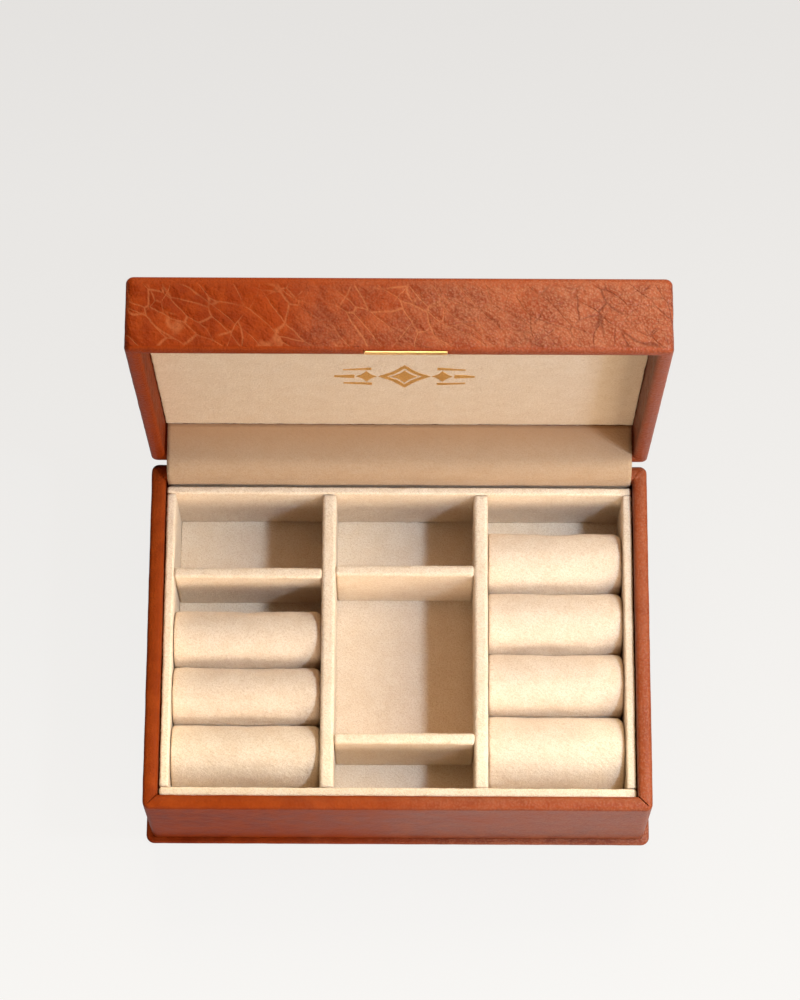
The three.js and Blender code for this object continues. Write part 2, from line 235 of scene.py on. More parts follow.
def soft_box(low, high, edge, under=0.3, spacing=1.2, steps=4):
    """Points and faces of a box with rounded edges, `edge` per axis and `under` at the bottom."""
    low, high = np.asarray(low, float), np.asarray(high, float)
    centre, half = (low + high) / 2, (high - low) / 2
    stops = [
        axis_stops(half[0], edge[0], edge[0], spacing, steps),
        axis_stops(half[1], edge[1], edge[1], spacing, steps),
        axis_stops(half[2], under, edge[2], spacing, steps),
    ]
    number, raw, faces = {}, [], []

    def vertex(key):
        if key not in number:
            number[key] = len(raw)
            raw.append([stops[axis][key[axis]] for axis in range(3)])
        return number[key]

    for axis in range(3):
        u, v = (axis + 1) % 3, (axis + 2) % 3
        for side in (0, len(stops[axis]) - 1):
            for a in range(len(stops[u]) - 1):
                for b in range(len(stops[v]) - 1):
                    face = []
                    for du, dv in ((0, 0), (1, 0), (1, 1), (0, 1)):
                        key = [side] * 3
                        key[u], key[v] = a + du, b + dv
                        face.append(vertex(tuple(key)))
                    faces.append(tuple(face))
    raw = np.array(raw)
    edges = np.tile(np.asarray(edge, float), (len(raw), 1))
    edges[raw[:, 2] < 0, 2] = under
    core = np.clip(raw, edges - half, half - edges)
    offset = (raw - core) / edges
    length = np.maximum(np.linalg.norm(offset, axis=1), 1e-9)
    rounded = core + edges * offset * (np.abs(offset).max(1) / length)[:, None]
    return rounded + centre, faces


# ---- bodies swept round a rectangle

CORNER_STOPS = (0, 0.1, 0.2, 0.32, 0.46, 0.65, 0.9, 1.25, 1.7, 2.3, 3.1, 4.2, 5.6, 7.4)
CORNER_ZONE = CORNER_STOPS[-1]
KEEP_ZONE_TO = 8.0  # rings further in than this draw their corner stops together
SHARP = 0.05


def side_stops(half, spacing, extra):
    """Distances along one side from its first corner, dense at both corners."""
    count = max(2, round(2 * (half - CORNER_ZONE) / spacing))
    even = np.linspace(CORNER_ZONE, 2 * half - CORNER_ZONE, count + 1)
    ends = np.array(CORNER_STOPS[:-1])
    return np.unique(np.concatenate([ends, even, 2 * half - ends[1:], half + np.array(extra)]))


def ring_side(stops, half, shortest, inset):
    """Places along one side, from its middle, of the ring `inset` further in."""
    shrink = min(1.0, max(0.0, (shortest - inset) / (shortest - KEEP_ZONE_TO)))
    zone = CORNER_ZONE * shrink
    from_corner = np.minimum(stops, 2 * half - stops)
    beyond = (from_corner - CORNER_ZONE) * (half - inset - zone) / (half - CORNER_ZONE)
    distance = np.where(from_corner <= CORNER_ZONE, from_corner * shrink, zone + beyond)
    return np.where(stops < half, -1, 1) * (half - inset - distance)


def sweep(half_x, half_y, radius, profile, joined=False, spacing=1.4, extra=()):
    """Carries [inset, height] points round a rounded rectangle.

    Returns the points, the faces, and for each point its inset, its distance from the nearest
    corner and the side it is on: 0 front, 1 right, 2 rear, 3 left.
    """
    halves = (half_x, half_y, half_x, half_y)
    stops = [side_stops(half, spacing, extra if side == 0 else ())
             for side, half in enumerate(halves)]
    shortest = min(halves)
    points, insets, corners, sides = [], [], [], []
    for inset, height in profile:
        for side, half in enumerate(halves):
            along = ring_side(stops[side], half, shortest, inset)
            across = np.full(len(along), halves[(side + 1) % 4] - inset)
            x, y = ((along, -across), (across, along), (-along, across), (-across, -along))[side]
            ring = np.column_stack([x, y, np.full(len(along), height)])
            points.append(round_corners(ring, half_x - inset, half_y - inset, radius - inset))
            insets.append(np.full(len(along), inset))
            corners.append(np.minimum(stops[side], 2 * half - stops[side]))
            sides.append(np.full(len(along), side))
    size = sum(len(s) for s in stops)
    faces = ring_faces(len(profile), size, joined)
    tags = {"inset": np.concatenate(insets), "corner": np.concatenate(corners),
            "side": np.concatenate(sides)}
    return np.concatenate(points), faces, tags


def round_corners(ring, half_x, half_y, radius):
    """Bends the corners of one rectangular ring round; a smaller radius than SHARP is left sharp."""
    if radius < SHARP:
        return ring
    core = np.array([half_x - radius, half_y - radius])
    offset = (np.abs(ring[:, :2]) - core) / radius
    both = (offset > 0).all(1)
    scale = offset.max(1) / np.maximum(np.linalg.norm(offset, axis=1), 1e-9)
    rounded = np.sign(ring[:, :2]) * (core + offset * scale[:, None] * radius)
    ring[both, :2] = rounded[both]
    return ring


def ring_faces(rings, size, joined):
    faces = []
    for ring in range(rings if joined else rings - 1):
        here, after = ring * size, (ring + 1) % rings * size
        for point in range(size):
            turn = (point + 1) % size
            faces.append((here + point, here + turn, after + turn, after + point))
    if not joined:
        faces.append(tuple(range(size)))
        faces.append(tuple((rings - 1) * size + point for point in range(size)))
    return faces


def straight(start, end, spacing):
    """Points of a straight stretch of profile, its first point included and its last left out."""
    start, end = np.array(start, float), np.array(end, float)
    count = max(1, round(np.linalg.norm(end - start) / spacing))
    return [tuple(start + (end - start) * step / count) for step in range(count)]


def arc(centre, radius, start, end, steps):
    """Points of an arc of profile, angles in degrees, both ends included."""
    angles = np.radians(np.linspace(start, end, steps + 1))
    return [(centre[0] + radius * math.cos(a), centre[1] + radius * math.sin(a)) for a in angles]


RIM_STEPS = 6


def rim_profile(rim, up):
    """The padded roll over a rim that looks up (+1) or down (-1), from outside to inside."""
    outer = arc((RIM_ROUND, 0), RIM_ROUND, 180, 90, RIM_STEPS)
    inner = arc((WALL - RIM_ROUND, 0), RIM_ROUND, 90, 0, RIM_STEPS)
    flat = WALL - 2 * RIM_ROUND
    crown = []
    for step in range(1, RIM_STEPS):
        share = step / RIM_STEPS
        swell = RIM_CROWN * math.sin(math.pi * share)
        crown.append((RIM_ROUND + flat * share, RIM_ROUND + swell))
    return [(inset, rim + up * (along - RIM_ROUND)) for inset, along in outer + crown + inner]


# ---- material helpers

def new_material(name):
    material = bpy.data.materials.new(name)
    material.use_nodes = True
    return material, material.node_tree


def feed(tree, socket, value):
    """Links the socket to an output, or sets it to a plain value."""
    if isinstance(value, bpy.types.NodeSocket):
        tree.links.new(value, socket)
    else:
        socket.default_value = value


def node(tree, kind, inputs=None, **settings):
    """Adds a node. `inputs` maps a socket's name or number to a value or to an output."""
    made = tree.nodes.new(f"ShaderNode{kind}")
    for key, value in settings.items():
        setattr(made, key, value)
    for socket, value in (inputs or {}).items():
        feed(tree, made.inputs[socket], value)
    return made


def math_node(tree, operation, first, second=0.0):
    return node(tree, "Math", {0: first, 1: second}, operation=operation).outputs[0]


def times(tree, first, second):
    return math_node(tree, "MULTIPLY", first, second)


def spread(tree, value, low, high, to_low=0.0, to_high=1.0):
    """A soft step of `value` from low..high to to_low..to_high."""
    return node(tree, "MapRange", {
        "Value": value, "From Min": low, "From Max": high, "To Min": to_low, "To Max": to_high,
    }, interpolation_type="SMOOTHSTEP").outputs[0]


def places(tree, stored=False):
    """Rest places in millimetres: stored on the mesh, or the object's own."""
    if stored:
        return node(tree, "Attribute", attribute_name="rest_mm").outputs["Vector"]
    own = node(tree, "TexCoord").outputs["Object"]
    return node(tree, "VectorMath", {0: own, "Scale": 1 / MM},
                operation="SCALE").outputs[0]


def stored_number(tree, name):
    return node(tree, "Attribute", attribute_name=name).outputs["Fac"]


def mapped(tree, vector, turn=(0, 0, 0), size=(1, 1, 1)):
    """`vector` turned by degrees and then measured in cells of `size` millimetres."""
    angles = tuple(math.radians(a) for a in turn)
    turned_by = node(tree, "Mapping", {"Vector": vector, "Rotation": angles}).outputs[0]
    cells = tuple(1 / s for s in size)
    return node(tree, "Mapping", {"Vector": turned_by, "Scale": cells}).outputs[0]


def soft_noise(tree, vector, size, detail=2.0, rough=0.5, output="Fac"):
    return node(tree, "TexNoise", {
        "Vector": vector, "Scale": 1 / size, "Detail": detail, "Roughness": rough,
    }).outputs[output]


def warped(tree, vector, size, amount):
    """`vector` pushed about by noise, so that straight patterns wander."""
    push = soft_noise(tree, vector, size, output="Color")
    centred = node(tree, "VectorMath", {0: push, 1: (0.5, 0.5, 0.5)},
                   operation="SUBTRACT").outputs[0]
    scaled = node(tree, "VectorMath", {0: centred, "Scale": amount},
                  operation="SCALE").outputs[0]
    return node(tree, "VectorMath", {0: vector, 1: scaled}, operation="ADD").outputs[0]


def mix(tree, factor, first, second):
    """Colour `first` where the factor is 0 and `second` where it is 1."""
    made = node(tree, "Mix", {0: factor}, data_type="RGBA")
    for number, value in ((6, first), (7, second)):
        plain = not isinstance(value, bpy.types.NodeSocket)
        feed(tree, made.inputs[number], (*value, 1) if plain else value)
    return made.outputs[2]


def total(tree, *terms, base=0.0):
    """The sum of `base` and the value * weight pairs."""
    result = base
    for value, weight in terms:
        result = math_node(tree, "ADD", times(tree, value, weight), result)
    return result


def finish_surface(tree, colour, roughness, height, **uniform):
    """Drives the Principled shader; `height` is in millimetres."""
    surface = tree.nodes["Principled BSDF"]
    feed(tree, surface.inputs["Base Color"], colour)
    feed(tree, surface.inputs["Roughness"], roughness)
    bump = node(tree, "Bump", {"Height": height, "Distance": MM, "Strength": 1.0})
    feed(tree, surface.inputs["Normal"], bump.outputs[0])
    for name, value in uniform.items():
        surface.inputs[name.replace("_", " ")].default_value = value


# ---- leather and suede

TAN = (0.186, 0.0236, 0.0026)
TAN_DEEP = (0.128, 0.0135, 0.0014)
TAN_LIGHT = (0.230, 0.0350, 0.0046)
TAN_VEIN = (0.400, 0.1550, 0.0700)
# TAN_GROOVE_SHADE is painted shade in the crease grooves.
TAN_GROOVE_SHADE = (0.070, 0.0090, 0.0015)
# TAN_PAINTED_SHEEN is a painted sheen: the greyish highlight of the lamps on the right.
TAN_PAINTED_SHEEN = (0.290, 0.1200, 0.0720)
TAN_SLIT_SHADE = (0.012, 0.004, 0.002)  # painted shade deep in the mitres of the rim
BASE_PAINTED_LIGHT = (1.15, 1.26, 1.15)  # painted light: the base's leather is a lighter copy of the lid's, as the base's walls get less lamp light than the lid's top
SHEEN_FROM, SHEEN_TO = -75, 85  # along X: a painted sheen, the highlight of the lamps on the right, grows from the left to the right; the shine, the crease density and the fine net follow the same ramp
VEINS_FROM, VEINS_TO = 75, 5  # along X: creases crack pale at the left; at the right their lines stay dark, painted shade in the grooves


def edge_distance(tree, vector):
    """Distance to the borders of a cell pattern, in cells."""
    return node(tree, "TexVoronoi", {"Vector": vector, "Scale": 1.0},
                feature="DISTANCE_TO_EDGE").outputs["Distance"]


# Cell patterns of the creases: their turn, their cell sizes and the width of their lines in cells.
SLANTING = {"turn": (0, 0, 40), "cells": (19, 6.8, 10), "line": 0.045}
CROSSING = {"turn": (0, 0, -66), "cells": (20, 9.5, 10), "line": 0.035}
NET = {"turn": (0, 0, 30), "cells": (3.6, 2.2, 2.6), "line": 0.10}
NET_DEPTH = 0.45  # strength of the net's lines against the others


def crease_cells(tree, wandering, pattern):
    return edge_distance(tree, mapped(tree, wandering, pattern["turn"], pattern["cells"]))


def crease_pattern(tree, wandering, netted):
    """Slanting creases, others that cross them, a fine net where `netted`, and their pillows."""
    pieces = soft_noise(tree, wandering, 17, 2)
    other = soft_noise(tree, mapped(tree, wandering, (0, 0, 90)), 14, 2)
    long_cells = crease_cells(tree, wandering, SLANTING)
    cross_cells = crease_cells(tree, wandering, CROSSING)
    net_cells = crease_cells(tree, wandering, NET)
    slanting = spread(tree, long_cells, 0.0, SLANTING["line"], 1.0, 0.0)
    crossing = spread(tree, cross_cells, 0.0, CROSSING["line"], 1.0, 0.0)
    net = spread(tree, net_cells, 0.0, NET["line"], NET_DEPTH, 0.0)
    slanting = times(tree, slanting, spread(tree, pieces, 0.36, 0.56, 0.20, 1.0))
    crossing = times(tree, crossing, spread(tree, other, 0.50, 0.62))
    net = times(tree, net, spread(tree, other, 0.60, 0.44, 0.0, 1.0))
    net = times(tree, net, netted)
    lines = math_node(tree, "MAXIMUM", math_node(tree, "MAXIMUM", slanting, crossing), net)
    pillows = total(tree, (spread(tree, long_cells, 0.0, 0.30), 0.7),
                    (spread(tree, net_cells, 0.0, 0.35), 0.3))
    return lines, pillows


def leather(name, creases, grain, stored=False, light=0.5, tone=(1, 1, 1)):
    """Waxed tan leather: `creases` and `grain` scale its wrinkles and its pebble. `light` paints the
    rolled edges lighter, partly as painted highlight; a painted sheen grows towards the right and
    the crease grooves get painted shade.
    """
    tan, tan_deep, tan_light = [np.multiply(shade, tone) for shade in (TAN, TAN_DEEP, TAN_LIGHT)]
    material, tree = new_material(name)
    place = places(tree, stored)
    wandering = warped(tree, warped(tree, place, 22, 6), 5.0, 0.8)
    patches = soft_noise(tree, place, 30, 3)
    uneven = soft_noise(tree, place, 6, 3)
    across = node(tree, "SeparateXYZ", {0: place}).outputs[0]
    uneven_shift = times(tree, math_node(tree, "SUBTRACT", patches, 0.5), 120)
    shifted = math_node(tree, "ADD", across, uneven_shift)
    sheen_side = spread(tree, shifted, SHEEN_FROM, SHEEN_TO)
    cracked = spread(tree, shifted, VEINS_FROM, VEINS_TO)

    smooth = stored_number(tree, "stretch")
    relaxed = spread(tree, smooth, 0.05, 0.8, 1.0, 0.0)
    lines, pillows = crease_pattern(tree, wandering, sheen_side)
    lines = times(tree, times(tree, lines, relaxed), creases)
    pillows = times(tree, pillows, relaxed)

    pebble = node(tree, "TexVoronoi", {
        "Vector": warped(tree, place, 1.6, 0.7), "Scale": 1 / 0.85, "Smoothness": 0.6,
    }, feature="SMOOTH_F1").outputs["Distance"]
    tops = spread(tree, pebble, 0.62, 0.22)
    pores = soft_noise(tree, place, 0.5, 3, 0.65)
    swell = soft_noise(tree, wandering, 3.2, 3)

    colour = mix(tree, spread(tree, patches, 0.3, 0.7), tan, tan_deep)
    colour = mix(tree, spread(tree, uneven, 0.35, 0.72, 0.0, 0.7), colour, tan_light)
    colour = mix(tree, spread(tree, pores, 0.5, 0.75, 0.0, 0.45), colour, tan_deep)
    # Painted sheen: towards the right the pebble tops are painted paler and greyer, as a highlight
    # of the lamps there.
    painted_sheen = times(tree, sheen_side, total(tree, (tops, 0.38), (uneven, 0.45)))
    colour = mix(tree, painted_sheen, colour, TAN_PAINTED_SHEEN)
    sparse = spread(tree, shifted, SHEEN_FROM, SHEEN_TO, 0.60, 1.0)
    lines = times(tree, lines, sparse)
    pale = times(tree, lines, cracked)
    dark = math_node(tree, "SUBTRACT", lines, pale)
    colour = mix(tree, times(tree, pale, 0.46), colour, TAN_VEIN)
    # Painted shade: crease lines that don't crack pale are darkened as shade in their grooves.
    colour = mix(tree, times(tree, dark, 0.60), colour, TAN_GROOVE_SHADE)
    # The rolled edges are painted lighter: partly paler stretched leather, partly painted highlight
    # on the roll.
    colour = mix(tree, times(tree, smooth, light), colour, tan_light)
    # Painted shade deep in the mitre slits of the rim.
    colour = mix(tree, stored_number(tree, "slit"), colour, TAN_SLIT_SHADE)

    roughness = total(tree, (uneven, 0.2), (pores, 0.16), (lines, 0.12), (sheen_side, -0.08),
                      base=0.34)
    height = total(tree, (lines, -0.12), (pebble, -0.20 * grain), (pores, 0.08 * grain),
                   (swell, 0.24 * creases), (pillows, 0.42 * creases))
    finish_surface(tree, colour, roughness, height, Coat_Weight=0.01, Coat_Roughness=0.35)
    shine = spread(tree, shifted, SHEEN_FROM, SHEEN_TO, 0.05, 0.18)
    tree.links.new(shine, tree.nodes["Principled BSDF"].inputs["Specular IOR Level"])
    return material


CREAM = (0.795, 0.655, 0.515)
CREAM_LIGHT = (0.885, 0.775, 0.655)
CREAM_DEEP = (0.570, 0.405, 0.255)
# CREAM_PAINTED_SHADOW is the painted shadow on the lining, deepest inside the open lid.
CREAM_PAINTED_SHADOW = (0.400, 0.225, 0.115)
# Painted shade: the padded lid panel is a darker copy of the cream, as the front lamps light it
# strongly.
PANEL_PAINTED_SHADE = (0.76, 0.73, 0.70)  # these three multiply the cream: painted shade on the panel, the rolls and the lining
# Painted shade: the rolls are a slightly darker copy of the cream, as the key lights their crowns
# most.
ROLL_PAINTED_SHADE = (0.96, 0.955, 0.97)
# Painted shadow: the lining lies in the open lid's shade, so it is a darker copy of the cream.
LINING_PAINTED_SHADOW = (0.58, 0.53, 0.48)


def suede(name, stored=False, shade=(1, 1, 1), lining_shadow=False):
    """Cream suede: short fuzz, a soft mottle and a slanting nap; with `lining_shadow`, painted
    shadow on the lining.
    """
    material, tree = new_material(name)
    place = places(tree, stored)
    fibres = soft_noise(tree, place, 0.55, 3, 0.7)
    nap = soft_noise(tree, mapped(tree, place, (0, 0, 35), (2.4, 0.8, 1.0)), 1.0, 3, 0.6)
    mottle = soft_noise(tree, place, 7, 3)
    flecks = soft_noise(tree, place, 0.9, 1)
    tones = [np.multiply(tone, shade) for tone in (CREAM, CREAM_LIGHT, CREAM_DEEP)]
    colour = mix(tree, spread(tree, mottle, 0.35, 0.65, 0.0, 0.5), tones[0], tones[1])
    colour = mix(tree, spread(tree, nap, 0.35, 0.65, 0.0, 0.45), colour, tones[1])
    colour = mix(tree, spread(tree, fibres, 0.42, 0.70, 0.0, 0.60), colour, tones[2])
    colour = mix(tree, spread(tree, flecks, 0.66, 0.8, 0.0, 0.3), colour, tones[2])
    # Painted shadow where the lining lies under the open lid.
    if lining_shadow:
        colour = mix(tree, stored_number(tree, "lining_shadow"), colour, CREAM_PAINTED_SHADOW)
    roughness = total(tree, (fibres, 0.12), (mottle, 0.06), base=0.8)
    height = total(tree, (fibres, 0.24), (nap, 0.26), (mottle, 0.14))
    finish_surface(tree, colour, roughness, height, Specular_IOR_Level=0.12,
                   Sheen_Weight=0.25, Sheen_Roughness=0.45, Sheen_Tint=(1, 0.95, 0.88, 1))
    return material


def pressed_board(name, light, dark):
    """Pressed board: fibres and specks."""
    material, tree = new_material(name)
    place = places(tree)
    fibres = soft_noise(tree, mapped(tree, place, (0, 0, 12), (4, 0.5, 0.7)), 1.0, 3)
    specks = soft_noise(tree, place, 0.7, 2)
    colour = mix(tree, spread(tree, fibres, 0.3, 0.7), light, dark)
    colour = mix(tree, spread(tree, specks, 0.66, 0.74, 0.0, 0.6), colour, (0.08, 0.06, 0.04))
    roughness = total(tree, (fibres, 0.15), base=0.78)
    height = total(tree, (fibres, 0.05), (specks, 0.03))
    finish_surface(tree, colour, roughness, height, Specular_IOR_Level=0.25)
    return material


def foam_material():
    """Open-celled foam."""
    material, tree = new_material("foam_cells")
    cells = node(tree, "TexVoronoi", {"Vector": places(tree), "Scale": 1 / 0.9})
    distance = cells.outputs["Distance"]
    colour = mix(tree, spread(tree, distance, 0.0, 0.7), (0.50, 0.45, 0.36), (0.82, 0.78, 0.68))
    roughness = total(tree, (distance, 0.1), base=0.85)
    height = times(tree, distance, 0.25)
    finish_surface(tree, colour, roughness, height, Specular_IOR_Level=0.2)
    return material


def metal(name, bright, dull, stroke, polish):
    """Brushed metal, its strokes along X, with faint handling marks."""
    material, tree = new_material(name)
    place = places(tree)
    strokes = soft_noise(tree, mapped(tree, place, (0, 0, 0), stroke), 1.0, 3)
    marks = soft_noise(tree, place, 2.5, 3)
    colour = mix(tree, spread(tree, strokes, 0.35, 0.7), bright, dull)
    colour = mix(tree, spread(tree, marks, 0.6, 0.75, 0.0, 0.4), colour, dull)
    roughness = total(tree, (strokes, 0.16), (marks, 0.12), base=polish)
    height = times(tree, strokes, 0.012)
    finish_surface(tree, colour, roughness, height, Metallic=1.0)
    return material


BOARD = ((0.36, 0.30, 0.22), (0.26, 0.21, 0.15))
BRASS = ((0.92, 0.66, 0.30), (0.78, 0.50, 0.20))
GOLD = ((0.80, 0.50, 0.16), (0.66, 0.38, 0.11))
STEEL = ((0.60, 0.60, 0.62), (0.42, 0.42, 0.45))

lid_leather = leather("lid_leather", creases=1.0, grain=1.0)
base_leather = leather("base_leather", creases=0.25, grain=0.7, light=0.35, tone=BASE_PAINTED_LIGHT)
foot_leather = leather("foot_leather", creases=0.1, grain=0.5, light=0.1)
hinge_leather_look = leather("hinge_leather_look", creases=0.3, grain=0.8, stored=True)
insert_suede = suede("insert_suede")
roll_suede = suede("roll_suede", shade=ROLL_PAINTED_SHADE)
panel_suede = suede("panel_suede", shade=PANEL_PAINTED_SHADE)
lining_suede = suede("lining_suede", stored=True, shade=LINING_PAINTED_SHADOW, lining_shadow=True)
underside_suede = suede("underside_suede", shade=PANEL_PAINTED_SHADE)
board_look = pressed_board("board_look", *BOARD)
foam_look = foam_material()
brass_look = metal("brass_look", *BRASS, stroke=(6, 0.12, 0.12), polish=0.18)
gold_foil = metal("gold_foil", *GOLD, stroke=(0.6, 0.5, 0.5), polish=0.3)
steel_look = metal("steel_look", *STEEL, stroke=(5, 0.15, 0.15), polish=0.25)

# ---- leather covers and foot

base_low, base_high = box_of("base_leather_cover")
lid_low, lid_high = shut_box_of("lid_leather_cover")
half_width, half_depth = base_high[0], base_high[1]
plate_low, plate_high = shut_box_of("strike_plate")


def cover_tags(piece, stretch, slit):
    store(piece, "stretch", stretch)
    store(piece, "slit", slit)
    store_rest(piece)


def build_base_cover():
    rim, bottom = base_high[2], base_low[2]
    turn_in_end = rim - TURN_IN["base"]
    wall = straight((0, bottom), (0, rim - RIM_ROUND), 1.5)
    inner_wall = straight((WALL, rim - RIM_ROUND - 1), (WALL, turn_in_end), 2)
    inside = [(WALL, turn_in_end), (WALL - LEATHER, turn_in_end),
              (WALL - LEATHER, rim - 2 * LEATHER), (LEATHER, rim - 2 * LEATHER), (LEATHER, bottom)]
    profile = wall + rim_profile(rim, 1) + inner_wall + inside
    points, faces, tags = sweep(half_width, half_depth, CORNER_RADIUS, profile, joined=True)

    height = points[:, 2]
    on_rim = smooth_ramp(height, rim - 1.2, rim - 0.4)
    at_front = points[:, 1] < 0
    from_corner = tags["corner"]
    along_slit = smooth_ramp(tags["inset"], 1.0, 2.0)
    slit = bell(from_corner, 0, SLIT["width"]) * along_slit * on_rim * at_front
    side_panel = (tags["side"] == 1) | (tags["side"] == 3)
    lip = bell(from_corner, SLIT["lip_at"], SLIT["lip_width"]) * along_slit * on_rim * side_panel
    fold = bell(from_corner, 0, 0.5) * along_slit * on_rim * ~at_front
    points[:, 2] += SLIT["lip"] * (lip + fold) - SLIT["depth"] * slit

    piece = new_piece("base_cover", points, faces, base_leather, "base")
    ripple(piece, BASE_WAVES)
    points = mesh_points(piece)
    points[:, 2] = np.minimum(points[:, 2], rim + RIM_REACH)
    set_points(piece, points)
    cover_tags(piece, smooth_ramp(height, rim - 2.2, rim - 1.0), slit)
    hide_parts("base_leather_cover")


def build_lid_cover():
    rim, top = lid_low[2], lid_high[2]
    edge = LID_EDGE_ROUND
    deepest = min(half_width, half_depth) - MIDDLE_RING
    roof = straight((deepest, top), (edge, top), 2.0)
    shoulder = arc((edge, top - edge), edge, 90, 180, 8)
    wall = straight((0, top - edge - 0.7), (0, rim + RIM_ROUND), 0.75)
    turn_in_end = rim + TURN_IN["lid"]
    inner_wall = straight((WALL, rim + RIM_ROUND + 1), (WALL, turn_in_end), 1.5)
    inside = [(WALL, turn_in_end), (WALL - LEATHER, turn_in_end),
              (WALL - LEATHER, rim + 2 * LEATHER), (LEATHER, rim + 2 * LEATHER),
              (LEATHER, top - LEATHER), (deepest, top - LEATHER)]
    profile = roof + shoulder + wall + rim_profile(rim, -1) + inner_wall + inside
    room_x, room_y = PLATE_ROOM
    seat_ends = [plate_low[0] - room for room in SEAT_STOPS]
    seat_ends += [plate_high[0] + room for room in SEAT_STOPS]
    points, faces, tags = sweep(half_width, half_depth, CORNER_RADIUS, profile,
                                spacing=0.85, extra=seat_ends)
    height = points[:, 2].copy()
    on_rim = height < rim + 1.2
    over_plate = (
        (tags["side"] == 0) & on_rim
        & (points[:, 0] > plate_low[0] - room_x) & (points[:, 0] < plate_high[0] + room_x)
        & (points[:, 1] > plate_low[1] - room_y) & (points[:, 1] < plate_high[1] + room_y)
    )
    points[over_plate, 2] = rim + PLATE_SEAT
    stretch = np.maximum(smooth_ramp(height, top - edge - 2.2, top - 1.2) * (height < top - 0.02),
                         smooth_ramp(-height, -rim - 2.0, -rim - 0.8))

    piece = new_piece("lid_cover", opened(points), faces, lid_leather, "lid")
    wrinkle(piece, ~over_plate * (1 - stretch))
    cover_tags(piece, stretch, np.zeros(len(points)))
    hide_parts("lid_leather_cover")


def wrinkle(piece, share):
    """Slanting soft wrinkles pressed into the leather, `share` of them at each vertex."""
    points, normals = mesh_points(piece), mesh_normals(piece)
    slant = math.radians(WRINKLES["slant"])
    run = points[:, 0] * math.cos(slant) - points[:, 1] * math.sin(slant)
    across = points[:, 0] * math.sin(slant) + points[:, 1] * math.cos(slant)
    stretched = np.column_stack([run / WRINKLES["longer"], across, points[:, 2]])
    lift = WRINKLES["height"] * noise_field(stretched, WRINKLES["size"], 3)
    lift = lift + WRINKLES["swell"] * noise_field(points, WRINKLES["swell_size"], 4)
    set_points(piece, points + normals * (lift * share)[:, None])


def build_foot():
    low, high = box_of("foot_board")
    edge = FOOT_EDGE
    deepest = high[1] - MIDDLE_RING
    profile = (
        straight((deepest, high[2]), (edge, high[2]), 3.0)
        + arc((edge, high[2] - edge), edge, 90, 180, 5)
        + arc((edge, low[2] + edge), edge, 180, 270, 5)
        + straight((edge + 1, low[2]), (deepest, low[2]), 3.0)
        + [(deepest, low[2])]
    )
    points, faces, _ = sweep(high[0], high[1], FOOT_CORNER, profile)
    piece = new_piece("foot_board_cover", points, faces, foot_leather, "base")
    ripple(piece, FOOT_WAVES)
    cover_tags(piece, np.zeros(len(points)), np.zeros(len(points)))
    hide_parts("foot_board")


# ---- suede insert

# Rounded edges of each kind of board, per axis.
FLOOR_EDGE = (0.4, 0.4, 0.3)
CROSSWISE_WALL_EDGE = (1.2, WALL_TOP_ROUND, WALL_TOP_ROUND)
SIDE_WALL_EDGE = (WALL_TOP_ROUND, 0.5, WALL_TOP_ROUND)
LONG_DIVIDER_EDGE = (1.6, 0.8, 1.5)
CROSS_DIVIDER_EDGE = (1.1, 1.4, 1.3)


def suede_piece(node_name, grow_low, grow_high, edge, seed, spacing=0.8):
    """A suede-covered board in a CAD node's place, grown to meet its neighbours."""
    low, high = box_of(node_name)
    points, faces = soft_box(low - grow_low, high + grow_high, edge, spacing=spacing)
    piece = new_piece(f"{node_name}_suede", points, faces, insert_suede, "base")
    ripple(piece, SUEDE_WAVES, seed)
    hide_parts(node_name)


def build_insert():
    none = np.zeros(3)
    along_x, along_y, down = np.eye(3) * JOINT_OVERLAP
    all_round = along_x + along_y
    suede_piece("insert_floor", all_round, all_round, FLOOR_EDGE, 10, spacing=2.0)
    suede_piece("insert_wall_front", none, none, CROSSWISE_WALL_EDGE, 11)
    suede_piece("insert_wall_rear", none, none, CROSSWISE_WALL_EDGE, 12)
    suede_piece("insert_wall_left", along_y, along_y, SIDE_WALL_EDGE, 13)
    suede_piece("insert_wall_right", along_y, along_y, SIDE_WALL_EDGE, 14)
    for index, side in enumerate(("left", "right")):
        suede_piece(f"long_divider_{side}", along_y + down, along_y, LONG_DIVIDER_EDGE, 15 + index)
    for index, name in enumerate(("left", "centre_rear", "centre_front")):
        suede_piece(f"cross_divider_{name}", along_x + down, along_x, CROSS_DIVIDER_EDGE,
                    17 + index)


# ---- ring rolls

ROLL_NODES = (
    [f"ring_roll_left_{n}" for n in (1, 2, 3)] + [f"ring_roll_right_{n}" for n in (1, 2, 3, 4)]
)


def roll_section(x, half_y, top, bottom, drawn_in):
    """One slice of a roll: upright sides and an arched top, drawn in all round."""
    side = half_y - drawn_in
    spring = top - half_y
    heights = np.linspace(bottom, spring, ROLL_GRID["side"])
    slice_points = [(x, side, z) for z in heights]
    for angle in np.linspace(0, math.pi, ROLL_GRID["arch"])[1:-1]:
        slice_points.append((x, side * math.cos(angle), spring + side * math.sin(angle)))
    return slice_points + [(x, -side, z) for z in heights[::-1]]


def rounded_end(end, half_x, side):
    """Stations from a roll's end inwards: place along X and how far the slice is drawn in."""
    angles = np.radians(np.linspace(0, 90, ROLL_GRID["end"]))
    return [(side * (half_x - end * (1 - math.cos(a))), end * (1 - math.sin(a))) for a in angles]


